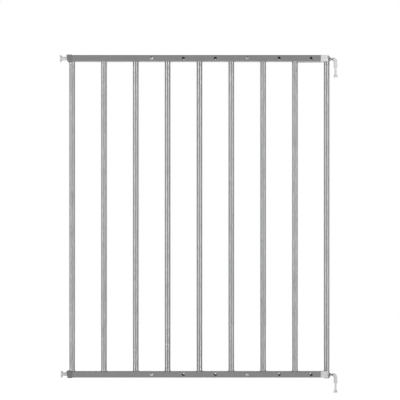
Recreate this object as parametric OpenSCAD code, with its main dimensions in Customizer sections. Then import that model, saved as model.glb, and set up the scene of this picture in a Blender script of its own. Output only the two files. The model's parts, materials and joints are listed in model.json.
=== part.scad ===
// Extending pet gate, closed up to its narrowest. Two welded bar panels stand one behind the
// other and slide apart along X. The rear panel carries the hinge post and its two hooked
// hinge fittings; the front panel carries the two pegs that drop into the latch side's catches.
// X runs along the gate, with the hinge at 0 and the pegs on the -X side. Y runs through it,
// with the front panel on the -Y side. Z is up. The origin is the underside of the lower
// hinge foot, on the hinge axis. Millimetres.

/* [Frame] */
// Height over both rails
frame_h = 720; // [500:5:900]
// Height of the rails' lower edge above the lower hinge foot
frame_lift = 36; // [34:1:60]
// Spacing of the bars and of the adjusting holes
pitch = 71.2; // [60:0.1:80]
// Number of bars in the front panel
front_bar_count = 8; // [5:1:9]
// Distance from the hinge axis to the hinge post
post_offset = 20; // [18:0.5:26]
// Distance from the hinge post to the last front bar
last_bay = 72; // [68:0.5:82]

/* [Bars] */
// Diameter of the front bars and of the hinge post
bar_d = 13; // [12:0.5:13]
// Diameter of the rear bars
rear_bar_d = 10; // [8:0.5:10]
// Wall of every tube
tube_wall = 1; // [0.8:0.1:1.5]

/* [Rails] */
// Height of the front rails
rail_h = 14; // [13:0.5:16]
// Depth of the front rails
rail_d = 14; // [13:0.5:16]
// Height of the rear rails
rear_rail_h = 10.5; // [10:0.5:12]
// Depth of the rear rails
rear_rail_d = 12; // [11:0.5:13]
// Wall of the rails
rail_wall = 1.2; // [1:0.1:1.5]
// Diameter of the adjusting holes
hole_d = 6.4; // [6:0.1:7]
// Diameter of the smaller holes through the rear rails' backs
back_hole_d = 4; // [3:0.1:7]
// Height of the slot along the rear rails
slot_h = 6.2; // [6:0.1:6.6]

/* [Wall pegs] */
// How far the upper peg's face stands out from the first front bar
upper_peg_reach = 26.8; // [24:0.1:34]
// How far the lower peg's face stands out from the first front bar
lower_peg_reach = 24.6; // [24:0.1:34]
// Diameter of the peg's head
peg_head_d = 16; // [14:0.5:18]

/* [Hinge fittings] */
// Height of each hinge rod above its pin's foot
hinge_drop = 40; // [38:0.5:44]
// Diameter of the hinge pin's foot
foot_d = 10; // [9:0.5:12]

/* [Hidden] */
$fn = 64;
gap = 0.1;                               // between pieces of one panel that plug together
run = 0.05;                              // radial clearance of a turning or screwed fit

post_x = -post_offset;
last_bar_x = post_x - last_bay;
first_bar_x = last_bar_x - (front_bar_count - 1) * pitch;
front_y = -(bar_d / 2 + 0.3 + rail_d / 2);
top_z = frame_lift + frame_h - rail_h / 2;
bottom_z = frame_lift + rail_h / 2;

front_rail_end = first_bar_x - 8.3;      // at the pegs
front_rail_stop = -34.8;                  // at the slide guides
rear_rail_end = first_bar_x + pitch - 16;
rear_rail_stop = post_x - 2;
first_hole_x = first_bar_x + 2.5 * pitch;
hole_count = front_bar_count - 2;
bolt_holes = [0, 3];                     // adjusting holes that hold a clamp bolt
bar_z = bottom_z + rail_h / 2;
bar_len = top_z - bottom_z - rail_h;
rear_bar_z = bottom_z + rear_rail_h / 2;
rear_bar_len = top_z - bottom_z - rear_rail_h;

post_top = frame_lift + frame_h + 1.2;
post_bottom = frame_lift - 3.5;
plug_t = 1.5;
upper_rod_z = top_z + 0.5;
lower_rod_z = hinge_drop;
rod_r = 2.5;
rod_end = -3.5;
post_insert_h = 8;

bolt_r = 2.5;
bolt_head_r = 4;
bolt_head_h = 2.4;
nut_len = 14;
neck_h = 5.6;                            // what runs in the rear rail's slot
shoe_h = 7.4;                            // what runs behind the slot

cap_wall = 1.1;
cap_nose = 12.1;                         // from the first bar to the cap's upper edge
cap_slant = 2.7;
plug_len = 24;
peg_r = 4;
screw_r = 3;
peg_insert_x = first_bar_x + 8;
peg_insert_len = 8;

elbow_r = 4;
elbow_bend = 6.5;
sleeve_r = 4.5;
sleeve_drop = 19;
pin_r = 2.4;
pin_bead_r = 2.9;
pin_bead_drop = 12.5;

steel_grey = [0.53, 0.53, 0.54];
plastic_grey = [0.48, 0.48, 0.49];
plastic_white = [0.93, 0.93, 0.92];
zinc = [0.66, 0.67, 0.68];
brass = [0.72, 0.6, 0.35];

function front_bar_x(i) = first_bar_x + i * pitch;
function hole_x(i) = first_hole_x + i * pitch;

// ---- shapes that repeat ----

// Rounded rectangle, centred
module rounded_rect(w, h, r) {
    square([w - 2 * r, h], center = true);
    square([w, h - 2 * r], center = true);
    for (x = [-1, 1], y = [-1, 1])
        translate([x * (w / 2 - r), y * (h / 2 - r)]) circle(r);
}

// Extrudes a Y-Z outline along X, from x0 to x1
module along_x(x0, x1) {
    translate([x0, 0, 0]) rotate([90, 0, 90]) linear_extrude(x1 - x0) children();
}

// Round bar along X, from x0 to x1, which may taper from r0 to r1
module rod_x(x0, x1, r0, r1) {
    translate([x0, 0, 0]) rotate([0, 90, 0]) cylinder(h = x1 - x0, r1 = r0, r2 = r1);
}

module tube(x, y, z, length, d) {
    translate([x, y, z]) difference() {
        cylinder(h = length, d = d);
        translate([0, 0, -1]) cylinder(h = length + 2, d = d - 2 * tube_wall);
    }
}

// Drills along Y at the adjusting holes, from y0 to y1
module adjusting_drills(count, y0, y1, d) {
    for (i = [0:count - 1])
        translate([hole_x(i), y0, 0]) rotate([-90, 0, 0]) cylinder(h = y1 - y0, d = d);
}

// ---- front panel ----

// Closed rounded box section with the adjusting holes through it from front to back
module front_rail(z) {
    color(steel_grey) translate([0, front_y, z]) difference() {
        along_x(front_rail_end, front_rail_stop) difference() {
            rounded_rect(rail_d, rail_h, 1.2);
            rounded_rect(rail_d - 2 * rail_wall, rail_h - 2 * rail_wall, 0.5);
        }
        adjusting_drills(hole_count, -rail_d, rail_d, hole_d);
    }
}

module front_bar(i) {
    color(steel_grey) tube(front_bar_x(i), front_y, bar_z, bar_len, bar_d);
}

// Plastic cap over a front rail's free end: a slanted nose, a short sleeve that is notched for
// the first bar, and a plug inside the rail that holds the peg's threaded insert.
// bar_side is -1 where the bars hang below the rail and 1 where they stand on it.
module end_cap(z, bar_side) {
    outer_h = rail_h + 2 * cap_wall;
    nose_x = first_bar_x - cap_nose;
    color(plastic_grey) translate([0, front_y, z]) difference() {
        union() {
            difference() {
                translate([0, rail_d / 2 + cap_wall, 0]) rotate([90, 0, 0])
                    linear_extrude(rail_d + 2 * cap_wall)
                    polygon([[nose_x, outer_h / 2], [first_bar_x + 0.5, outer_h / 2],
                             [first_bar_x + 0.5, -outer_h / 2], [nose_x + cap_slant, -outer_h / 2]]);
                along_x(front_rail_end - gap, first_bar_x + 1)
                    square([rail_d + 2 * gap, rail_h + 2 * gap], center = true);
                translate([first_bar_x, 0, bar_side * outer_h / 2])
                    cylinder(h = outer_h, d = bar_d + 0.6, center = true);
            }
            along_x(front_rail_end - 1, front_rail_end + plug_len)
                square([rail_d - 2 * rail_wall - 4 * gap, rail_h - 2 * rail_wall - 4 * gap],
                       center = true);
        }
        rod_x(nose_x - 1, peg_insert_x, peg_r + 0.3, peg_r + 0.3);
        rod_x(peg_insert_x - 0.1, peg_insert_x + peg_insert_len, 4.5, 4.5);
        rod_x(peg_insert_x, first_bar_x + 30, screw_r + 0.5, screw_r + 0.5);
    }
}

module peg_insert(z) {
    color(brass) translate([0, front_y, z]) difference() {
        rod_x(peg_insert_x, peg_insert_x + peg_insert_len, 4.48, 4.48);
        rod_x(peg_insert_x - 1, peg_insert_x + peg_insert_len + 1, screw_r + run, screw_r + run);
    }
}

// Outline of what runs in a rear rail: a neck in the slot and a wider shoe behind it
module tee_outline(neck_front) {
    lip_back = -rear_rail_d / 2 + rail_wall;
    translate([neck_front, -neck_h / 2]) square([lip_back + 0.4 - neck_front, neck_h]);
    translate([lip_back + 0.3, -shoe_h / 2]) square([2.7, shoe_h]);
}

// White plastic end of a front rail: a plug in the rail, a square head that runs in front of
// the hinge post, a tee that runs in the rear rail's slot, and a thin runner beside the bars
module slide_guide(z) {
    head_h = rail_h + 0.8;
    head_back = front_y + rail_d / 2;
    runner_back = -rear_bar_d / 2 - 0.3;
    color(plastic_white) translate([0, 0, z]) {
        translate([0, front_y, 0]) {
            along_x(front_rail_stop - 15, front_rail_stop + 1)
                square([rail_d - 2 * rail_wall - 4 * gap, rail_h - 2 * rail_wall - 4 * gap],
                       center = true);
            along_x(front_rail_stop, post_x) rounded_rect(rail_d, head_h, 1.2);
        }
        along_x(front_rail_stop, front_rail_stop + 7) tee_outline(head_back - 0.5);
        translate([front_rail_stop - 50, head_back + gap, -head_h / 2 - 0.4])
            cube([57, runner_back - head_back - gap, 2]);
        translate([front_rail_stop, head_back - 1.5, -head_h / 2 + 0.4])
            cube([7, 1.5 + gap + 0.1, 1.3]);
    }
}

// Four button-head bolts with a hexagon socket
module clamp_bolts() {
    sphere_r = (bolt_head_r ^ 2 + bolt_head_h ^ 2) / (2 * bolt_head_h);
    face_y = front_y - rail_d / 2;
    color(zinc) for (z = [bottom_z, top_z], i = bolt_holes)
        translate([hole_x(i), face_y, z]) rotate([-90, 0, 0]) difference() {
            union() {
                intersection() {
                    translate([0, 0, sphere_r - bolt_head_h]) sphere(sphere_r);
                    translate([0, 0, -bolt_head_h]) cylinder(h = bolt_head_h, r = bolt_head_r);
                }
                translate([0, 0, -0.5]) cylinder(h = -face_y, r = bolt_r);
            }
            translate([0, 0, -bolt_head_h - 1]) cylinder(h = 2.7, d = 3.5, $fn = 6);
        }
}

// Four tee nuts behind the slots, one for each bolt
module slide_nuts() {
    color(zinc) for (z = [bottom_z, top_z], i = bolt_holes)
        translate([0, 0, z]) difference() {
            along_x(hole_x(i) - nut_len / 2, hole_x(i) + nut_len / 2)
                tee_outline(-rear_rail_d / 2);
            translate([hole_x(i), -rear_rail_d, 0]) rotate([-90, 0, 0])
                cylinder(h = rear_rail_d, r = bolt_r + run);
        }
}

// ---- wall pegs ----

// White peg: a flat head with a conical back on a round shank, bored for its screw
module wall_peg(z, reach) {
    face_x = first_bar_x - reach;
    color(plastic_white) translate([0, front_y, z]) difference() {
        union() {
            rod_x(face_x, face_x + 2, peg_head_d / 2, peg_head_d / 2);
            rod_x(face_x + 2, face_x + 5.5, peg_head_d / 2, peg_r);
            rod_x(face_x + 5.4, face_x + 25.2, peg_r, peg_r);
        }
        rod_x(face_x + 8, face_x + 26, screw_r + 0.02, screw_r + 0.02);
    }
}

module peg_screw(z, reach) {
    color(zinc) translate([0, front_y, z])
        rod_x(first_bar_x - reach + 8.2, first_bar_x - reach + 57.2, screw_r, screw_r);
}

// ---- rear panel ----

// Channel with a slot along its front, drilled through its back and fitted round the post
module rear_rail(z) {
    color(steel_grey) translate([0, 0, z]) difference() {
        along_x(rear_rail_end, rear_rail_stop) difference() {
            rounded_rect(rear_rail_d, rear_rail_h, 1.2);
            rounded_rect(rear_rail_d - 2 * rail_wall, rear_rail_h - 2 * rail_wall, 0.3);
            translate([-rear_rail_d / 2, 0]) square([rear_rail_d / 2, slot_h], center = true);
        }
        translate([-pitch, 0, 0]) adjusting_drills(hole_count + 1, 0, rear_rail_d, back_hole_d);
        translate([post_x, 0, -rear_rail_h]) cylinder(h = 2 * rear_rail_h, d = bar_d);
    }
}

module rear_bar(i) {
    color(steel_grey) tube(front_bar_x(i + 1), 0, rear_bar_z, rear_bar_len, rear_bar_d);
}

// Round post, drilled on the hinge side for the two rods
module hinge_post() {
    color(steel_grey) difference() {
        tube(post_x, 0, post_bottom + plug_t, post_top - post_bottom - 2 * plug_t, bar_d);
        for (z = [lower_rod_z, upper_rod_z])
            translate([0, 0, z]) rod_x(post_x, 0, rod_r + run, rod_r + run);
    }
}

// Plastic plug: a disc over the tube's end and a short spigot inside it. side is 1 at the top.
module post_plug(z, side) {
    color(plastic_grey) translate([post_x, 0, z]) {
        translate([0, 0, side * plug_t / 2]) cylinder(h = plug_t, d = bar_d, center = true);
        translate([0, 0, -side * 0.9]) cylinder(h = 2, r = bar_d / 2 - tube_wall - gap, center = true);
    }
}

module post_insert(z) {
    color(zinc) translate([0, 0, z]) difference() {
        translate([post_x, 0, 0])
            cylinder(h = post_insert_h, r = bar_d / 2 - tube_wall - run, center = true);
        rod_x(post_x - bar_d, post_x + bar_d, rod_r + run, rod_r + run);
    }
}

module hinge_rod(z) {
    color(zinc) translate([0, 0, z]) rod_x(post_x - 4, rod_end, rod_r, rod_r);
}

module lock_nut(z) {
    color(zinc) translate([post_x + bar_d / 2 + gap, 0, z]) rotate([0, 90, 0]) difference() {
        cylinder(h = 2.6, d = 9, $fn = 6);
        translate([0, 0, -1]) cylinder(h = 5, r = rod_r + run);
    }
}

// White hook: screwed on the rod, turning down through a right angle into the pin's sleeve
module hinge_elbow(z) {
    color(plastic_white) translate([0, 0, z]) difference() {
        union() {
            translate([-elbow_bend, 0, -elbow_bend]) rotate([90, 0, 0])
                rotate_extrude(angle = 90) translate([elbow_bend, 0]) circle(elbow_r);
            translate([0, 0, -sleeve_drop])
                cylinder(h = sleeve_drop - elbow_bend, r1 = sleeve_r, r2 = elbow_r);
        }
        rod_x(-elbow_bend - 1, rod_end + 0.2, rod_r + run, rod_r + run);
        translate([0, 0, -sleeve_drop - 1]) cylinder(h = sleeve_drop - 7, r = pin_r + run);
        translate([0, 0, -pin_bead_drop - 0.9]) cylinder(h = 1.8, r = pin_bead_r + run);
    }
}

// ---- hinge pins, which stand in the wall's sockets ----

module hinge_pin(z) {
    foot_z = z - hinge_drop;
    color(plastic_white) {
        translate([0, 0, foot_z]) cylinder(h = 2.5, d = foot_d);
        translate([0, 0, foot_z + 2.5]) cylinder(h = 3.5, r1 = foot_d / 2, r2 = pin_r);
        translate([0, 0, foot_z + 5.9]) cylinder(h = hinge_drop - 5.9 - 8.3, r = pin_r);
        translate([0, 0, z - pin_bead_drop - 0.8]) cylinder(h = 1.6, r = pin_bead_r);
    }
}

front_rail(top_z);  // front_top_rail
front_rail(bottom_z);  // front_bottom_rail
for (i = [1:front_bar_count])
    front_bar(i - 1);
end_cap(top_z, -1);  // upper_end_cap
end_cap(bottom_z, 1);  // lower_end_cap
peg_insert(top_z);  // upper_peg_insert
peg_insert(bottom_z);  // lower_peg_insert
slide_guide(top_z);  // upper_slide_guide
slide_guide(bottom_z);  // lower_slide_guide
clamp_bolts();
slide_nuts();
wall_peg(top_z, upper_peg_reach);  // upper_wall_peg
peg_screw(top_z, upper_peg_reach);  // upper_peg_screw
wall_peg(bottom_z, lower_peg_reach);  // lower_wall_peg
peg_screw(bottom_z, lower_peg_reach);  // lower_peg_screw
rear_rail(top_z);  // rear_top_rail
rear_rail(bottom_z);  // rear_bottom_rail
for (i = [1:front_bar_count - 1])
    rear_bar(i - 1);
hinge_post();
post_plug(post_top - plug_t, 1);  // post_top_plug
post_plug(post_bottom + plug_t, -1);  // post_bottom_plug
post_insert(upper_rod_z);  // upper_post_insert
post_insert(lower_rod_z);  // lower_post_insert
hinge_rod(upper_rod_z);  // upper_hinge_rod
hinge_rod(lower_rod_z);  // lower_hinge_rod
lock_nut(upper_rod_z);  // upper_lock_nut
lock_nut(lower_rod_z);  // lower_lock_nut
hinge_elbow(upper_rod_z);  // upper_hinge_elbow
hinge_elbow(lower_rod_z);  // lower_hinge_elbow
hinge_pin(upper_rod_z);  // upper_hinge_pin
hinge_pin(lower_rod_z);  // lower_hinge_pin
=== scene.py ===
import json
import math

import bmesh
import bpy
from mathutils import Matrix, Vector, noise


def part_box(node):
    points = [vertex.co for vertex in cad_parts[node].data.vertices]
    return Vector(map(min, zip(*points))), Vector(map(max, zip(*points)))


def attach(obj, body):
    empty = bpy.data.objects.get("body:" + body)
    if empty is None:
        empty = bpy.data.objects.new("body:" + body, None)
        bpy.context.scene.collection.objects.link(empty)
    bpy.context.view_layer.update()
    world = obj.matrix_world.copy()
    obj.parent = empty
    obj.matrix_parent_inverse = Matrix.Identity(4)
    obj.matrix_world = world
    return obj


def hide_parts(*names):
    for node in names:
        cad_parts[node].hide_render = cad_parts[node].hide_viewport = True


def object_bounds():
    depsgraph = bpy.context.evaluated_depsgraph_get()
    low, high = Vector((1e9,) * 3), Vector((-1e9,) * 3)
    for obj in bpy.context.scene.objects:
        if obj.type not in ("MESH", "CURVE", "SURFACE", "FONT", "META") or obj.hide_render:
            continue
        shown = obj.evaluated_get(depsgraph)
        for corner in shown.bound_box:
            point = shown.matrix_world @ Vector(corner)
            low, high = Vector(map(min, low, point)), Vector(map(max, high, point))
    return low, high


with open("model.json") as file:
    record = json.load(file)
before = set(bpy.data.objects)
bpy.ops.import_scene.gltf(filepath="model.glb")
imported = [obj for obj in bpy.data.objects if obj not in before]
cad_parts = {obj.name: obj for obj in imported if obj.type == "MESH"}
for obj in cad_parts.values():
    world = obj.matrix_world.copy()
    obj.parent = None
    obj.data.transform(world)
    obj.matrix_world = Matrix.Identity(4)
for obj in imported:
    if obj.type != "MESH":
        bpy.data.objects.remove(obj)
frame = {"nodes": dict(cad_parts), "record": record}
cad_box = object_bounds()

# ---- Camera ----
# The gate is seen level and straight from the front, from far enough away that its bars stay
# upright and parallel. The eye is a little below the middle of the gate, nearer to its hinge.
MM = 0.001
EYE_X = -226.1 * MM
EYE_HEIGHT = 343.2 * MM
EYE_DISTANCE = 2617.5 * MM
camera_data = bpy.data.cameras.new("camera")
camera_data.lens = 105.6
camera_data.shift_x = -0.0875
camera_data.shift_y = 0.1
camera = bpy.data.objects.new("camera", camera_data)
camera.location = (EYE_X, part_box("front_top_rail")[0].y - EYE_DISTANCE, EYE_HEIGHT)
camera.rotation_euler = (math.radians(90), 0, 0)
bpy.context.scene.collection.objects.link(camera)
bpy.context.scene.camera = camera
bpy.context.scene.view_settings.view_transform = "Standard"

# ---- Studio ----
# A pale floor that glows softly like a light table, so nothing casts a hard shadow on it, and
# a white room whose ceiling and camera side are dimmer than its far side. Two tall soft boxes
# stand in front, left and right.
FLOOR_GAP = 35 * MM
FLOOR_RADIUS = 2.6
FLOOR_X = -0.3
gate_low, gate_high = cad_box
bm = bmesh.new()
bmesh.ops.create_circle(bm, cap_ends=True, radius=FLOOR_RADIUS, segments=96)
bmesh.ops.translate(bm, verts=bm.verts, vec=(FLOOR_X, 0, gate_low.z - FLOOR_GAP))
floor_mesh = bpy.data.meshes.new("floor")
bm.to_mesh(floor_mesh)
bm.free()
floor_piece = bpy.data.objects.new("floor", floor_mesh)
floor_piece.visible_glossy = False
bpy.context.scene.collection.objects.link(floor_piece)

floor_material = bpy.data.materials.new("pale_floor")
floor_material.use_nodes = True
floor_shader = floor_material.node_tree.nodes["Principled BSDF"]
floor_shader.inputs["Base Color"].default_value = (0.8, 0.8, 0.8, 1)
floor_shader.inputs["Roughness"].default_value = 0.9
floor_shader.inputs["Emission Color"].default_value = (1, 1, 1, 1)
floor_mesh.materials.append(floor_material)


def add_node(tree, kind, inputs=(), **settings):
    """A new node with its settings and its inputs, each a plain value or another node's socket."""
    node = tree.nodes.new(kind)
    for key, value in settings.items():
        setattr(node, key, value)
    for key, value in dict(inputs).items():
        if isinstance(value, bpy.types.NodeSocket):
            tree.links.new(value, node.inputs[key])
        else:
            node.inputs[key].default_value = value
    return node


FLOOR_GLOW = 0.2
FLOOR_GLOW_SEEN = 0.76
tree = floor_material.node_tree
path = add_node(tree, "ShaderNodeLightPath")
glow = add_node(tree, "ShaderNodeMapRange", {"Value": path.outputs["Is Camera Ray"],
                                             "To Min": FLOOR_GLOW, "To Max": FLOOR_GLOW_SEEN})
tree.links.new(glow.outputs[0], floor_shader.inputs["Emission Strength"])

CEILING_DIM = 0.2
CAMERA_SIDE_DIM = 0.61
world = bpy.data.worlds.new("white_room")
world.use_nodes = True
bpy.context.scene.world = world
tree = world.node_tree
tree.nodes.clear()
toward = add_node(tree, "ShaderNodeTexCoord").outputs["Generated"]
toward = add_node(tree, "ShaderNodeSeparateXYZ", {0: toward})
height_fade = add_node(tree, "ShaderNodeMapRange",
                       {"Value": toward.outputs["Z"], "From Min": -0.05, "From Max": 0.75,
                        "To Min": 1.0, "To Max": CEILING_DIM}, interpolation_type="SMOOTHSTEP")
depth_fade = add_node(tree, "ShaderNodeMapRange",
                      {"Value": toward.outputs["Y"], "From Min": -0.7, "From Max": 0.6,
                       "To Min": CAMERA_SIDE_DIM, "To Max": 1.0}, interpolation_type="SMOOTHSTEP")
fade = add_node(tree, "ShaderNodeMath", {0: height_fade.outputs[0], 1: depth_fade.outputs[0]},
                operation="MULTIPLY")
lighting = add_node(tree, "ShaderNodeBackground", {"Strength": fade.outputs[0]})
backdrop = add_node(tree, "ShaderNodeBackground", {"Strength": 1.0})
for background in (lighting, backdrop):
    background.inputs["Color"].default_value = (1, 1, 1, 1)
path = add_node(tree, "ShaderNodeLightPath")
mix = add_node(tree, "ShaderNodeMixShader",
               {0: path.outputs["Is Camera Ray"], 1: lighting.outputs[0], 2: backdrop.outputs[0]})
add_node(tree, "ShaderNodeOutputWorld", {0: mix.outputs[0]})

BOX_WIDTH = 0.36
BOX_HEIGHT = 3.6
BOX_LEVEL = 0.45
BOX_DISTANCE = 3.2


def soft_box(name, azimuth, radiance):
    """A tall area light round the gate's middle, facing it. Azimuth 0 is straight in front."""
    light = bpy.data.lights.new(name, "AREA")
    light.shape = "RECTANGLE"
    light.size = BOX_WIDTH
    light.size_y = BOX_HEIGHT
    light.energy = radiance * math.pi * BOX_WIDTH * BOX_HEIGHT
    lamp = bpy.data.objects.new(name, light)
    angle = math.radians(azimuth)
    aim = Vector(((gate_low.x + gate_high.x) / 2, 0, (gate_low.z + gate_high.z) / 2))
    offset = Vector((math.sin(angle) * BOX_DISTANCE, -math.cos(angle) * BOX_DISTANCE,
                     BOX_LEVEL - aim.z))
    lamp.location = aim + offset
    lamp.rotation_euler = (-offset).to_track_quat("-Z", "Y").to_euler()
    lamp.visible_camera = False
    bpy.context.scene.collection.objects.link(lamp)


soft_box("left_box", -42, 12.5)
soft_box("right_box", 42, 11.5)

# ---- Powder-coated steel ----
# Tubes and rails are coated with a silver-grey polyester powder that melts into a satin film:
# faintly dimpled like orange peel, with fine metallic flake and small changes of shade.


def new_group(name, inputs, outputs):
    """A shader node group. inputs and outputs map socket names to NodeSocket kinds."""
    group = bpy.data.node_groups.new(name, "ShaderNodeTree")
    for in_out, sockets in (("INPUT", inputs), ("OUTPUT", outputs)):
        for socket, kind in sockets.items():
            group.interface.new_socket(socket, in_out=in_out, socket_type=kind)
    given = group.nodes.new("NodeGroupInput").outputs
    put_out = group.nodes.new("NodeGroupOutput").inputs
    return group, given, put_out


def surface_grain_group():
    """Shade, roughness and bump that vary over a coated, moulded or plated surface."""
    group, given, put_out = new_group(
        "surface_grain",
        {"Color": "NodeSocketColor", "Shade Spread": "NodeSocketFloat",
         "Roughness": "NodeSocketFloat", "Roughness Spread": "NodeSocketFloat",
         "Grain Scale": "NodeSocketFloat", "Grain Height": "NodeSocketFloat",
         "Flake": "NodeSocketFloat"},
        {"Color": "NodeSocketColor", "Roughness": "NodeSocketFloat", "Normal": "NodeSocketVector"})
    place = add_node(group, "ShaderNodeTexCoord").outputs["Object"]
    mottle = add_node(group, "ShaderNodeTexNoise",
                      {"Vector": place, "Scale": 22.0, "Detail": 3.0, "Roughness": 0.6})
    grain = add_node(group, "ShaderNodeTexNoise",
                     {"Vector": place, "Scale": given["Grain Scale"], "Detail": 2.0})
    flake_scale = add_node(group, "ShaderNodeMath", {0: given["Grain Scale"], 1: 2.6},
                           operation="MULTIPLY")
    flakes = add_node(group, "ShaderNodeTexVoronoi",
                      {"Vector": place, "Scale": flake_scale.outputs[0]})
    flake_value = add_node(group, "ShaderNodeSeparateColor", {"Color": flakes.outputs["Color"]})
    shade_low = add_node(group, "ShaderNodeMath", {0: 1.0, 1: given["Shade Spread"]},
                         operation="SUBTRACT")
    shade_high = add_node(group, "ShaderNodeMath", {0: 1.0, 1: given["Shade Spread"]},
                          operation="ADD")
    shade = add_node(group, "ShaderNodeMapRange",
                     {"Value": mottle.outputs["Fac"], "From Min": 0.3, "From Max": 0.7,
                      "To Min": shade_low.outputs[0], "To Max": shade_high.outputs[0]})
    flake_off = add_node(group, "ShaderNodeMath", {0: flake_value.outputs["Red"], 1: 0.5},
                         operation="SUBTRACT")
    flake_shade = add_node(group, "ShaderNodeMath",
                           {0: flake_off.outputs[0], 1: given["Flake"], 2: shade.outputs["Result"]},
                           operation="MULTIPLY_ADD")
    tint = add_node(group, "ShaderNodeVectorMath",
                    {0: given["Color"], "Scale": flake_shade.outputs[0]}, operation="SCALE")
    rough_off = add_node(group, "ShaderNodeMath", {0: grain.outputs["Fac"], 1: 0.5},
                         operation="SUBTRACT")
    rough = add_node(group, "ShaderNodeMath",
                     {0: rough_off.outputs[0], 1: given["Roughness Spread"], 2: given["Roughness"]},
                     operation="MULTIPLY_ADD")
    bump = add_node(group, "ShaderNodeBump",
                    {"Height": grain.outputs["Fac"], "Distance": given["Grain Height"]})
    for socket, value in (("Color", tint.outputs["Vector"]), ("Roughness", rough.outputs[0]),
                          ("Normal", bump.outputs["Normal"])):
        group.links.new(value, put_out[socket])
    return group


SURFACE_GRAIN = surface_grain_group()


def grained_material(name, color, metallic, roughness, grain, **shader_values):
    """A Principled material whose colour, roughness and bump come from the surface grain."""
    material = bpy.data.materials.new(name)
    material.use_nodes = True
    tree = material.node_tree
    shader = tree.nodes["Principled BSDF"]
    group = add_node(tree, "ShaderNodeGroup", node_tree=SURFACE_GRAIN)
    group.inputs["Color"].default_value = (*color, 1)
    group.inputs["Roughness"].default_value = roughness
    for key, value in grain.items():
        group.inputs[key].default_value = value
    shader.inputs["Base Color"].default_value = (*color, 1)
    for socket in ("Color", "Roughness", "Normal"):
        target = "Base Color" if socket == "Color" else socket
        tree.links.new(group.outputs[socket], shader.inputs[target])
    shader.inputs["Metallic"].default_value = metallic
    for key, value in shader_values.items():
        shader.inputs[key].default_value = value
    return material


POWDER_COAT = grained_material(
    "silver_powder_coat", (0.34, 0.34, 0.345), 0.6, 0.24,
    {"Shade Spread": 0.035, "Roughness Spread": 0.08, "Grain Scale": 900.0,
     "Grain Height": 0.000016, "Flake": 0.16})

# ---- Front rails ----
# Each rail is a rounded steel box tube of 1.2 mm wall, bare inside, where its inner faces are
# painted near black: partly that bare steel, and partly painted shade that darkens the holes. Six
# round holes go through it from front to back, midway between the bars, and two of them take clamp
# bolts.
RAIL_WALL = 1.2 * MM
RAIL_CORNER = 1.2 * MM
HOLE_R = 3.2 * MM
BODY_OF = {node: body for body, nodes in frame["record"]["behaviour"]["bodies"].items()
           for node in nodes}
FRONT_BARS = [node for node in frame["nodes"] if node.startswith("front_bar_")]
FRONT_BARS.sort(key=lambda node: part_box(node)[0].x)


def centre(node):
    low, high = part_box(node)
    return (low + high) / 2


def new_piece(bm, name):
    mesh = bpy.data.meshes.new(name)
    bm.to_mesh(mesh)
    bm.free()
    piece = bpy.data.objects.new(name, mesh)
    bpy.context.scene.collection.objects.link(piece)
    return piece


def apply_modifiers(piece):
    depsgraph = bpy.context.evaluated_depsgraph_get()
    mesh = bpy.data.meshes.new_from_object(piece.evaluated_get(depsgraph))
    piece.modifiers.clear()
    piece.data = mesh


def carve(piece, tool, operation="DIFFERENCE"):
    """Cuts the tool from the piece, or joins the two, or keeps what they share."""
    boolean = piece.modifiers.new("carve", "BOOLEAN")
    boolean.operation = operation
    boolean.solver = "EXACT"
    boolean.object = tool
    apply_modifiers(piece)
    bpy.data.objects.remove(tool)


def add_box(bm, low, high):
    """A box between two corners, added to bm."""
    verts = bmesh.ops.create_cube(bm, size=1)["verts"]
    low, high = Vector(low), Vector(high)
    bmesh.ops.scale(bm, vec=high - low, verts=verts)
    bmesh.ops.translate(bm, vec=(low + high) / 2, verts=verts)


def laid_along(start, end):
    """The matrix that lays a shape on the Z axis along the line from start to end."""
    turn = (end - start).to_track_quat("Z", "Y").to_matrix().to_4x4()
    return Matrix.Translation((start + end) / 2) @ turn


def add_rod(bm, start, end, radius, sides=48, capped=True):
    """A round bar from start to end, added to bm."""
    start, end = Vector(start), Vector(end)
    bmesh.ops.create_cone(bm, cap_ends=capped, segments=sides, radius1=radius, radius2=radius,
                          depth=(end - start).length, matrix=laid_along(start, end))


def finish_piece(piece, material, nodes, edge=0.3 * MM):
    """Rounds the piece's sharp edges, gives it its finish and lets it stand for its CAD nodes."""
    piece.data.shade_smooth()
    if edge:
        bevel = piece.modifiers.new("edges", "BEVEL")
        bevel.width = edge
        bevel.segments = 3
        bevel.limit_method = "ANGLE"
        bevel.angle_limit = math.radians(35)
        bevel.use_clamp_overlap = True
        apply_modifiers(piece)
    piece.data.shade_smooth()
    piece.data.set_sharp_from_angle(angle=math.radians(40))
    piece.modifiers.new("even_shading", "WEIGHTED_NORMAL").keep_sharp = True
    apply_modifiers(piece)
    piece.data.materials.clear()
    piece.data.materials.append(material)
    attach(piece, BODY_OF[nodes[0]])
    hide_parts(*nodes)


def rounded_bar(name, low, high, corner):
    """A solid bar along X between two corners, with its four long edges rounded."""
    bm = bmesh.new()
    add_box(bm, low, high)
    long_edges = [edge for edge in bm.edges
                  if abs(edge.verts[0].co.x - edge.verts[1].co.x) > (high.x - low.x) / 2]
    bmesh.ops.bevel(bm, geom=long_edges, offset=corner, segments=6, profile=0.5,
                    affect="EDGES", material=-1)
    return new_piece(bm, name)


def box_section(name, node, corner, inner_corner):
    """A rounded box tube along X with open ends, the size of the CAD node."""
    low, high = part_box(node)
    wall = Vector((-MM, RAIL_WALL, RAIL_WALL))
    section = rounded_bar(name, low, high, corner)
    carve(section, rounded_bar("bore", low + wall, high - wall, inner_corner))
    return section


# Near-black inner finish: partly bare mill steel, and partly painted shade that makes the rails'
# holes read dark.
MILL_STEEL_AND_SHADE = grained_material(
    "bare_mill_steel_and_painted_shade", (0.03, 0.029, 0.028), 0.0, 0.7,
    {"Shade Spread": 0.2, "Roughness Spread": 0.2, "Grain Scale": 400.0,
     "Grain Height": 0.00003, "Flake": 0.0})


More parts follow.
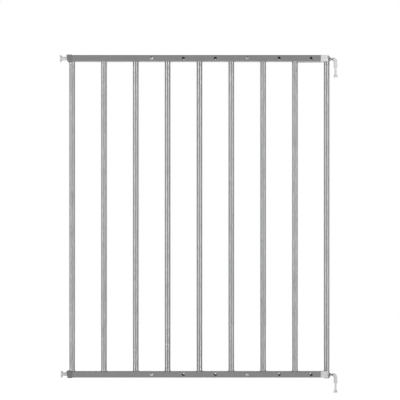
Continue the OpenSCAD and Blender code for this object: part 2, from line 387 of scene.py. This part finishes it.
def paint_bare_steel_and_shade_inside(rail, node):
    """Gives a rail's inner faces a near-black colour: partly the bare mill steel that the powder
    doesn't reach, and partly painted shade that darkens the holes.
    """
    low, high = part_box(node)
    axis = (low + high) / 2
    reach = (high - low) / 2 - Vector((0, 0.7 * RAIL_WALL, 0.7 * RAIL_WALL))
    rail.data.materials.append(MILL_STEEL_AND_SHADE)
    for face in rail.data.polygons:
        offset = face.center - axis
        if abs(offset.y) < reach.y and abs(offset.z) < reach.z and abs(face.normal.x) < 0.5:
            face.material_index = 1


def drill(piece, positions, y_from, y_to, z, radius):
    """Drills the piece along Y at each X position."""
    bm = bmesh.new()
    for x in positions:
        add_rod(bm, (x, y_from, z), (x, y_to, z), radius)
    carve(piece, new_piece(bm, "drill"))


bar_x = [centre(node).x for node in FRONT_BARS]
pitch = bar_x[1] - bar_x[0]
hole_x = [bar_x[2] + (i + 0.5) * pitch for i in range(len(bar_x) - 2)]
for node in ("front_top_rail", "front_bottom_rail"):
    low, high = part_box(node)
    rail = box_section(node + "_tube", node, RAIL_CORNER, inner_corner=0.5 * MM)
    drill(rail, hole_x, low.y - MM, high.y + MM, centre(node).z, HOLE_R)
    finish_piece(rail, POWDER_COAT, [node])
    paint_bare_steel_and_shade_inside(rail, node)

# ---- Bars ----
# Round steel tubes of 1 mm wall stand between the rails: 13 mm ones in the front panel, and
# 10 mm ones in the rear panel, which slide away behind them.
TUBE_WALL = 1 * MM


def thicken(piece, wall):
    """Gives an open shell a wall on its inner side."""
    solidify = piece.modifiers.new("wall", "SOLIDIFY")
    solidify.thickness = wall
    solidify.offset = -1
    solidify.use_even_offset = True
    apply_modifiers(piece)


def round_tube(name, node):
    low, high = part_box(node)
    x, y = centre(node).xy
    bm = bmesh.new()
    add_rod(bm, (x, y, low.z), (x, y, high.z), (high.x - low.x) / 2, sides=64, capped=False)
    tube = new_piece(bm, name)
    thicken(tube, TUBE_WALL)
    return tube


REAR_BARS = sorted(node for node in frame["nodes"] if node.startswith("rear_bar_"))
for node in FRONT_BARS + REAR_BARS:
    finish_piece(round_tube(node + "_tube", node), POWDER_COAT, [node], edge=0)

# ---- Welds ----
# A small fillet of weld runs along both sides of each bar where it meets a rail. It thins out
# at the front and back, where the bar is nearly as wide as the rail, and is coated over.
FRONT_WELD_LEG = 1.9 * MM
REAR_WELD_LEG = 0.8 * FRONT_WELD_LEG
WELD_RIPPLE = 0.16


def add_weld(bm, x, y, z, up, radius, leg):
    """One ring of weld round a bar's end at height z. up is 1 where the bar rises from the rail."""
    inside = 0.3 * MM
    outline = [(radius - inside, -inside), (radius + leg, -inside), (radius + leg, 0),
               (radius + 0.45 * leg, 0.2 * leg), (radius + 0.2 * leg, 0.45 * leg), (radius, leg),
               (radius - inside, leg)]
    verts = [bm.verts.new((r, 0, h)) for r, h in outline]
    edges = [bm.edges.new(pair) for pair in zip(verts, verts[1:] + verts[:1])]
    bmesh.ops.spin(bm, geom=verts + edges, cent=(0, 0, 0), axis=(0, 0, 1),
                   angle=math.tau, steps=40, use_merge=True)
    # The new ring is still at the origin, and the ones before it have been moved to their bars.
    ring = [vert for vert in bm.verts if vert.co.xy.length < 0.02 and abs(vert.co.z) < 0.01
            and not vert.tag]
    for vert in ring:
        out = vert.co.xy.length - radius
        side = (vert.co.x / max(vert.co.xy.length, 1e-9)) ** 2
        ripple = 1 + WELD_RIPPLE * noise.noise(vert.co * 900 + Vector((x * 50, y * 50, z * 50)))
        reach = (0.1 + 0.9 * side) * ripple
        vert.co.xy *= (radius + max(out, -inside) * (reach if out > 0 else 1)) / vert.co.xy.length
        vert.co.z = up * (vert.co.z * (reach if vert.co.z > 0 else 1)) + z
        vert.co.x += x
        vert.co.y += y
        vert.tag = True


def panel_welds(name, bars, leg):
    bm = bmesh.new()
    for node in bars:
        low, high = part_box(node)
        radius = (high.x - low.x) / 2
        x, y = centre(node).xy
        add_weld(bm, x, y, low.z, 1, radius, leg)
        add_weld(bm, x, y, high.z, -1, radius, leg)
    bmesh.ops.remove_doubles(bm, verts=bm.verts, dist=1e-6)
    bmesh.ops.recalc_face_normals(bm, faces=bm.faces)
    welds = new_piece(bm, name)
    welds.data.shade_smooth()
    welds.data.materials.append(POWDER_COAT)
    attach(welds, BODY_OF[bars[0]])


panel_welds("front_panel_welds", FRONT_BARS, FRONT_WELD_LEG)
panel_welds("rear_panel_welds", REAR_BARS, REAR_WELD_LEG)

# ---- Rear rails ----
# Each is a small steel channel whose open slot faces the front panel. Slide nuts and the slide
# guides run in it. Its back is drilled, and its end is shaped to the hinge post and welded.
SLOT_H = 6.2 * MM
BACK_HOLE_R = 2 * MM
post_x, post_y = centre("hinge_post").xy
post_r = (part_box("hinge_post")[1].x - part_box("hinge_post")[0].x) / 2
for node in ("rear_top_rail", "rear_bottom_rail"):
    low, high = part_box(node)
    rail = box_section(node + "_channel", node, RAIL_CORNER, inner_corner=0.3 * MM)
    slot_low = Vector((low.x - MM, low.y - MM, centre(node).z - SLOT_H / 2))
    slot_high = Vector((high.x + MM, centre(node).y, centre(node).z + SLOT_H / 2))
    bm = bmesh.new()
    add_box(bm, slot_low, slot_high)
    carve(rail, new_piece(bm, "slot"))
    back_hole_x = [hole_x[0] - pitch] + hole_x
    drill(rail, back_hole_x, 0, high.y + MM, centre(node).z, BACK_HOLE_R)
    bm = bmesh.new()
    add_rod(bm, (post_x, post_y, low.z - MM), (post_x, post_y, high.z + MM), post_r, sides=64)
    carve(rail, new_piece(bm, "cope"))
    finish_piece(rail, POWDER_COAT, [node])
    paint_bare_steel_and_shade_inside(rail, node)

# ---- Hinge post ----
# A 13 mm tube that the rear rails are welded to. Two holes on the hinge side let the hinge
# rods in, and a moulded plug closes each end.
ROD_HOLE_R = 2.6 * MM
post = round_tube("hinge_post_tube", "hinge_post")
bm = bmesh.new()
for node in ("upper_hinge_rod", "lower_hinge_rod"):
    z = centre(node).z
    add_rod(bm, (post_x, 0, z), (0, 0, z), ROD_HOLE_R)
carve(post, new_piece(bm, "rod_drill"))
finish_piece(post, POWDER_COAT, ["hinge_post"])

GREY_PLASTIC = grained_material(
    "grey_moulded_plastic", (0.19, 0.19, 0.195), 0.0, 0.5,
    {"Shade Spread": 0.03, "Roughness Spread": 0.18, "Grain Scale": 1500.0,
     "Grain Height": 0.00003, "Flake": 0.0})


def add_turned(bm, outline, origin, axis, steps=48):
    """Turns an outline of (distance along, radius) points about an axis into a closed solid."""
    origin, axis = Vector(origin), Vector(axis).normalized()
    out = axis.orthogonal().normalized()
    verts = [bm.verts.new(origin + axis * along + out * radius) for along, radius in outline]
    edges = [bm.edges.new(pair) for pair in zip(verts, verts[1:])]
    bmesh.ops.spin(bm, geom=verts + edges, cent=origin, axis=axis, angle=math.tau,
                   steps=steps, use_merge=True)
    bmesh.ops.remove_doubles(bm, verts=bm.verts, dist=1e-6)
    bmesh.ops.recalc_face_normals(bm, faces=bm.faces)


def arc(along, radius, size, start, end, steps=6):
    """Points of an arc in an outline, round (along, radius), with angles in degrees."""
    turns = [math.radians(start + (end - start) * i / steps) for i in range(steps + 1)]
    return [(along + size * math.cos(turn), radius + size * math.sin(turn)) for turn in turns]


FIT = 0.1 * MM
PLUG_DISC = 1.5 * MM
PLUG_ROUNDING = 1.0 * MM
for node, up in (("post_top_plug", 1), ("post_bottom_plug", -1)):
    low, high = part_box(node)
    inner_z = low.z if up == 1 else high.z
    depth = high.z - low.z
    plug_r = post_r - TUBE_WALL - FIT
    outline = ([(0, 0), (0, plug_r - 0.3 * MM), (0.3 * MM, plug_r), (depth - PLUG_DISC, plug_r),
                (depth - PLUG_DISC, post_r)]
               + arc(depth - PLUG_ROUNDING, post_r - PLUG_ROUNDING, PLUG_ROUNDING, 90, 0)
               + [(depth, post_r * 0.5), (depth, 0)])
    bm = bmesh.new()
    add_turned(bm, outline, (post_x, post_y, inner_z), (0, 0, up))
    finish_piece(new_piece(bm, node + "_cap"), GREY_PLASTIC, [node], edge=0.15 * MM)

# ---- End caps ----
# Grey moulded caps close the front rails' free ends. Their slanted noses are bored for the
# wall pegs, a short sleeve clasps the rail, and a notch lets the first bar through.
CAP_SLANT = 2.7 * MM
CAP_ROUNDING = 1.7 * MM
CAP_MOUTH = 0.5 * MM
PEG_BORE_R = 4.3 * MM
PEG_BORE_END = 8 * MM
INSERT_BORE_R = 4.5 * MM
NOTCH_R = 6.8 * MM
for node, rail_node, bars_up in (("upper_end_cap", "front_top_rail", -1),
                                 ("lower_end_cap", "front_bottom_rail", 1)):
    low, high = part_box(node)
    rail_low, rail_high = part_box(rail_node)
    mouth_x = bar_x[0] + CAP_MOUTH
    axis_y, axis_z = centre(rail_node).yz
    bm = bmesh.new()
    add_box(bm, low, (mouth_x, high.y, high.z))
    for vert in bm.verts:
        if vert.co.x < mouth_x - MM and vert.co.z < axis_z:
            vert.co.x += CAP_SLANT
    outer_edges = [edge for edge in bm.edges
                   if min(vert.co.x for vert in edge.verts) < mouth_x - MM]
    bmesh.ops.bevel(bm, geom=outer_edges, offset=CAP_ROUNDING, segments=5, profile=0.5,
                    affect="EDGES", material=-1)
    cap = new_piece(bm, node + "_moulding")
    bm = bmesh.new()
    add_box(bm, (rail_low.x - FIT, rail_low.y - FIT, rail_low.z - FIT),
            (mouth_x + MM, rail_high.y + FIT, rail_high.z + FIT))
    carve(cap, new_piece(bm, "rail_pocket"))
    bm = bmesh.new()
    notch_z = axis_z + bars_up * (high.z - low.z) / 2
    notch_reach = 9 * MM
    add_rod(bm, (bar_x[0], axis_y, notch_z - notch_reach),
            (bar_x[0], axis_y, notch_z + notch_reach), NOTCH_R)
    carve(cap, new_piece(bm, "bar_notch"))
    bm = bmesh.new()
    inset = RAIL_WALL + 2 * FIT
    add_box(bm, (rail_low.x - MM, rail_low.y + inset, rail_low.z + inset),
            (high.x, rail_high.y - inset, rail_high.z - inset))
    carve(cap, new_piece(bm, "plug"), "UNION")
    bm = bmesh.new()
    bore_end = bar_x[0] + PEG_BORE_END
    add_rod(bm, (low.x - MM, axis_y, axis_z), (bore_end, axis_y, axis_z), PEG_BORE_R)
    carve(cap, new_piece(bm, "peg_bore"))
    bm = bmesh.new()
    add_rod(bm, (bore_end - FIT, axis_y, axis_z), (high.x + MM, axis_y, axis_z), INSERT_BORE_R)
    carve(cap, new_piece(bm, "insert_bore"))
    finish_piece(cap, GREY_PLASTIC, [node], edge=0.25 * MM)

# ---- Wall pegs ----
# White moulded pegs that drop into the catches on the wall: a flat round head with a raised
# rim, a conical back and a smooth shank, moulded over the end of a steel screw.
WHITE_PLASTIC = grained_material(
    "white_moulded_plastic", (0.74, 0.74, 0.745), 0.0, 0.36,
    {"Shade Spread": 0.012, "Roughness Spread": 0.14, "Grain Scale": 1500.0,
     "Grain Height": 0.00002, "Flake": 0.0},
    **{"Coat Weight": 0.1})
SHANK_R = 4 * MM
SCREW_BORE_R = 3.02 * MM
SCREW_BORE_END = 8 * MM
for node in ("upper_wall_peg", "lower_wall_peg"):
    low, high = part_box(node)
    head_r = (high.z - low.z) / 2
    length = high.x - low.x
    outline = ([(0.5 * MM, 0), (0.5 * MM, head_r - 3.4 * MM)]
               + arc(0.9 * MM, head_r - 0.9 * MM, 0.9 * MM, 180, 90)
               + [(1.7 * MM, head_r)] + arc(1.7 * MM, head_r - 0.4 * MM, 0.4 * MM, 90, 30, 3)
               + [(4.9 * MM, SHANK_R + 0.55 * MM), (5.5 * MM, SHANK_R + 0.12 * MM),
                  (6.3 * MM, SHANK_R)]
               + [(length - 0.5 * MM, SHANK_R), (length, SHANK_R - 0.5 * MM),
                  (length, SCREW_BORE_R), (SCREW_BORE_END, SCREW_BORE_R), (SCREW_BORE_END, 0)])
    bm = bmesh.new()
    add_turned(bm, outline, (low.x, centre(node).y, centre(node).z), (1, 0, 0), steps=64)
    finish_piece(new_piece(bm, node + "_moulding"), WHITE_PLASTIC, [node], edge=0)

# ---- Screws and rods ----
# Zinc-plated steel: an M6 screw in each wall peg, and the M5 threaded rods that carry the
# hinge elbows and set how far they stand off the post.
ZINC = grained_material(
    "zinc_plate", (0.60, 0.61, 0.62), 1.0, 0.4,
    {"Shade Spread": 0.06, "Roughness Spread": 0.3, "Grain Scale": 700.0,
     "Grain Height": 0.00002, "Flake": 0.05})


def add_thread(bm, start, end, radius, thread_pitch, sides=28, rings=6):
    """A rod from start to end with a helical V thread, closed and chamfered at both ends."""
    start, end = Vector(start), Vector(end)
    length = (end - start).length
    depth = 0.55 * thread_pitch
    verts = bmesh.ops.create_cone(bm, cap_ends=True, segments=sides, radius1=radius,
                                  radius2=radius, depth=length)["verts"]
    sides_up = [edge for edge in {edge for vert in verts for edge in vert.link_edges}
                if abs(edge.verts[0].co.z - edge.verts[1].co.z) > length / 2]
    cuts = round(length / thread_pitch * rings)
    bmesh.ops.subdivide_edges(bm, edges=sides_up, cuts=cuts, use_grid_fill=True)
    for vert in bm.verts:
        turn = math.atan2(vert.co.y, vert.co.x) / math.tau
        phase = (vert.co.z / thread_pitch - turn) % 1
        groove = depth * (1 - abs(2 * phase - 1))
        to_end = length / 2 - abs(vert.co.z)
        chamfer = max(0, depth - to_end)
        vert.co.xy *= (radius - max(groove, chamfer)) / radius
    bmesh.ops.transform(bm, matrix=laid_along(start, end), verts=bm.verts)


for node, radius, thread_pitch in (("upper_peg_screw", 3.0 * MM, 1.0 * MM),
                                   ("lower_peg_screw", 3.0 * MM, 1.0 * MM),
                                   ("upper_hinge_rod", 2.5 * MM, 0.8 * MM),
                                   ("lower_hinge_rod", 2.5 * MM, 0.8 * MM)):
    low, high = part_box(node)
    axis_y, axis_z = centre(node).yz
    bm = bmesh.new()
    add_thread(bm, (low.x, axis_y, axis_z), (high.x, axis_y, axis_z), radius, thread_pitch)
    finish_piece(new_piece(bm, node + "_thread"), ZINC, [node], edge=0)

# ---- Lock nuts ----
# Thin M5 hexagon nuts, chamfered on both faces, that lock the hinge rods against the post. The
# turned shape that chamfers them reaches past the nut, so no two surfaces of the cut coincide.
ROD_BORE_R = 2.55 * MM
NUT_CHAMFER = 0.5 * MM
PAST = 0.2 * MM
for node in ("upper_lock_nut", "lower_lock_nut"):
    low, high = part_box(node)
    axis_y, axis_z = centre(node).yz
    corner_r = (high.z - low.z) / 2
    bm = bmesh.new()
    add_rod(bm, (low.x, axis_y, axis_z), (high.x, axis_y, axis_z), corner_r, sides=6)
    nut = new_piece(bm, node + "_hex")
    thickness = high.x - low.x
    face_r = corner_r - 1.5 * (NUT_CHAMFER + PAST)
    belt_r = corner_r + 1.5 * PAST
    bm = bmesh.new()
    add_turned(bm, [(-PAST, 0), (-PAST, face_r), (NUT_CHAMFER + PAST, belt_r),
                    (thickness - NUT_CHAMFER - PAST, belt_r), (thickness + PAST, face_r),
                    (thickness + PAST, 0)], (low.x, axis_y, axis_z), (1, 0, 0))
    carve(nut, new_piece(bm, "chamfer"), "INTERSECT")
    bm = bmesh.new()
    add_rod(bm, (low.x - MM, axis_y, axis_z), (high.x + MM, axis_y, axis_z), ROD_BORE_R)
    carve(nut, new_piece(bm, "nut_bore"))
    finish_piece(nut, ZINC, [node], edge=0.12 * MM)

# ---- Hinge elbows ----
# White mouldings, screwed on the rods. Each bends down through a right angle into a slightly
# widening sleeve that the hinge pin snaps into.
ELBOW_R = 4 * MM
SLEEVE_R = 4.5 * MM
ROD_BORE_END = -3.3 * MM
PIN_BORE_R = 2.45 * MM
GROOVE_R = 2.95 * MM
for node in ("upper_hinge_elbow", "lower_hinge_elbow"):
    low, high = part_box(node)
    rod_z = high.z - ELBOW_R
    bend = -low.x
    bm = bmesh.new()
    bmesh.ops.create_circle(bm, segments=40, radius=ELBOW_R,
                            matrix=Matrix.Translation((low.x, 0, rod_z))
                            @ Matrix.Rotation(math.radians(90), 4, "Y"))
    made = bmesh.ops.spin(bm, geom=bm.verts[:] + bm.edges[:], cent=(low.x, 0, rod_z - bend),
                          axis=(0, 1, 0), angle=math.radians(90), steps=14)
    last_ring = [item for item in made["geom_last"] if isinstance(item, bmesh.types.BMEdge)]
    made = bmesh.ops.extrude_edge_only(bm, edges=last_ring)
    sleeve_end = [item for item in made["geom"] if isinstance(item, bmesh.types.BMVert)]
    bmesh.ops.translate(bm, verts=sleeve_end, vec=(0, 0, low.z - (rod_z - bend)))
    for vert in sleeve_end:
        vert.co.xy *= SLEEVE_R / ELBOW_R
    bmesh.ops.holes_fill(bm, edges=bm.edges)
    bmesh.ops.recalc_face_normals(bm, faces=bm.faces)
    elbow = new_piece(bm, node + "_moulding")
    bm = bmesh.new()
    add_rod(bm, (low.x - MM, 0, rod_z), (ROD_BORE_END, 0, rod_z), ROD_BORE_R)
    carve(elbow, new_piece(bm, "rod_bore"))
    bore_outline = [(-MM, 0), (-MM, PIN_BORE_R), (5.6 * MM, PIN_BORE_R), (5.6 * MM, GROOVE_R),
                    (7.4 * MM, GROOVE_R), (7.4 * MM, PIN_BORE_R), (11 * MM, PIN_BORE_R),
                    (11 * MM, 0)]
    bm = bmesh.new()
    add_turned(bm, bore_outline, (0, 0, low.z), (0, 0, 1))
    carve(elbow, new_piece(bm, "pin_bore"))
    finish_piece(elbow, WHITE_PLASTIC, [node], edge=0.35 * MM)

# ---- Hinge pins ----
# White pins that stand in the wall brackets' sockets. The slim stem flares out to a round
# foot, and a bead near its top snaps into the elbow so that the pin turns but stays in.
STEM_R = 2.4 * MM
BEAD_R = 2.75 * MM
for node in ("upper_hinge_pin", "lower_hinge_pin"):
    low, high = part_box(node)
    foot_r = high.x
    length = high.z - low.z
    bead_z = length - 4.2 * MM
    outline = ([(0, 0), (0, foot_r - 0.5 * MM)]
               + arc(0.5 * MM, foot_r - 0.5 * MM, 0.5 * MM, 180, 90, 4)
               + [(2.3 * MM, foot_r), (2.6 * MM, foot_r - 0.15 * MM),
                  (5.2 * MM, STEM_R + 0.62 * MM), (6.2 * MM, STEM_R + 0.12 * MM),
                  (7.4 * MM, STEM_R)]
               + [(bead_z - 0.6 * MM, STEM_R), (bead_z - 0.3 * MM, BEAD_R),
                  (bead_z + 0.3 * MM, BEAD_R), (bead_z + 0.6 * MM, STEM_R)]
               + [(length - 0.6 * MM, STEM_R), (length, STEM_R - 0.6 * MM), (length, 0)])
    bm = bmesh.new()
    add_turned(bm, outline, (0, 0, low.z), (0, 0, 1), steps=56)
    finish_piece(new_piece(bm, node + "_moulding"), WHITE_PLASTIC, [node], edge=0)

# ---- Slide guides ----
# White mouldings in the hinge-side ends of the front rails. A plug fills the rail and a square
# head stands in front of the hinge post. Behind it a tee runs in the rear rail's slot, and a
# thin runner keeps the two rails apart.
HEAD_ROUNDING = 1.1 * MM
for node, rail_node in (("upper_slide_guide", "front_top_rail"),
                        ("lower_slide_guide", "front_bottom_rail")):
    low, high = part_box(node)
    rail_low, rail_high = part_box(rail_node)
    middle_z = centre(rail_node).z
    inset = RAIL_WALL + 2 * FIT
    head_h = rail_high.z - rail_low.z + 0.8 * MM
    bm = bmesh.new()
    add_box(bm, (rail_high.x, rail_low.y, middle_z - head_h / 2),
            (high.x, rail_high.y, middle_z + head_h / 2))
    bmesh.ops.bevel(bm, geom=bm.edges[:], offset=HEAD_ROUNDING, segments=5, profile=0.5,
                    affect="EDGES", material=-1)
    guide = new_piece(bm, node + "_moulding")
    plug = ((rail_high.x - 15 * MM, rail_low.y + inset, rail_low.z + inset),
            (rail_high.x + 2 * MM, rail_high.y - inset, rail_high.z - inset))
    tee_neck = ((rail_high.x + 1.2 * MM, rail_high.y - 2 * MM, middle_z - 2.8 * MM),
                (rail_high.x + 7 * MM, -4.3 * MM, middle_z + 2.8 * MM))
    tee = ((rail_high.x + 0.2 * MM, -4.5 * MM, middle_z - 3.7 * MM),
           (rail_high.x + 7 * MM, -1.8 * MM, middle_z + 3.7 * MM))
    runner = ((rail_high.x - 50 * MM, rail_high.y + FIT, low.z),
              (rail_high.x + 7 * MM, -5.3 * MM, low.z + 2 * MM))
    runner_neck = ((rail_high.x + 1.2 * MM, rail_high.y - 2 * MM, low.z + 0.7 * MM),
                   (rail_high.x + 7 * MM, -5.5 * MM, low.z + 2 * MM))
    for corners in (plug, tee_neck, tee, runner, runner_neck):
        bm = bmesh.new()
        add_box(bm, *corners)
        carve(guide, new_piece(bm, "part"), "UNION")
    finish_piece(guide, WHITE_PLASTIC, [node], edge=0.25 * MM)

# ---- Clamp bolts ----
# Four M5 button-head bolts, zinc plated, with hexagon sockets. They pass through the front
# rails into the slide nuts and pinch the two panels together.
BOLT_HEAD_R = 4 * MM
BOLT_HEAD_H = 2.4 * MM
BOLT_R = 2.5 * MM
SOCKET_R = 1.75 * MM
SOCKET_DEPTH = 1.7 * MM
bolt_low, bolt_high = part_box("clamp_bolts")
bolt_length = bolt_high.y - bolt_low.y
dome_r = (BOLT_HEAD_R ** 2 + BOLT_HEAD_H ** 2) / (2 * BOLT_HEAD_H)
dome_turn = math.degrees(math.asin(BOLT_HEAD_R / dome_r))
bm = bmesh.new()
sockets = bmesh.new()
for rail_node in ("front_top_rail", "front_bottom_rail"):
    for x in (hole_x[0], hole_x[3]):
        z = centre(rail_node).z
        head = arc(dome_r, 0, dome_r, 180, 180 - dome_turn + 4, 8)
        outline = ([(0, 0)] + head[1:]
                   + [(BOLT_HEAD_H - 0.12 * MM, BOLT_HEAD_R), (BOLT_HEAD_H, BOLT_HEAD_R - 0.1 * MM)]
                   + [(BOLT_HEAD_H, BOLT_R), (bolt_length - 0.5 * MM, BOLT_R),
                      (bolt_length, BOLT_R - 0.5 * MM), (bolt_length, 0)])
        add_turned(bm, outline, (x, bolt_low.y, z), (0, 1, 0))
        add_rod(sockets, (x, bolt_low.y - MM, z), (x, bolt_low.y + SOCKET_DEPTH, z), SOCKET_R,
                sides=6)
bolts = new_piece(bm, "clamp_bolt_set")
carve(bolts, new_piece(sockets, "sockets"))
finish_piece(bolts, ZINC, ["clamp_bolts"], edge=0.1 * MM)

# ---- Hidden metal parts ----
# Slide nuts in the rear rails and turned inserts in the post and end caps keep their CAD
# shapes, as only their edges show, deep inside the holes.
BRASS = grained_material(
    "turned_brass", (0.62, 0.46, 0.22), 1.0, 0.3,
    {"Shade Spread": 0.05, "Roughness Spread": 0.2, "Grain Scale": 900.0,
     "Grain Height": 0.00001, "Flake": 0.0})
for node, material in (("slide_nuts", ZINC), ("upper_post_insert", ZINC),
                       ("lower_post_insert", ZINC), ("upper_peg_insert", BRASS),
                       ("lower_peg_insert", BRASS)):
    for slot in frame["nodes"][node].material_slots:
        slot.material = material
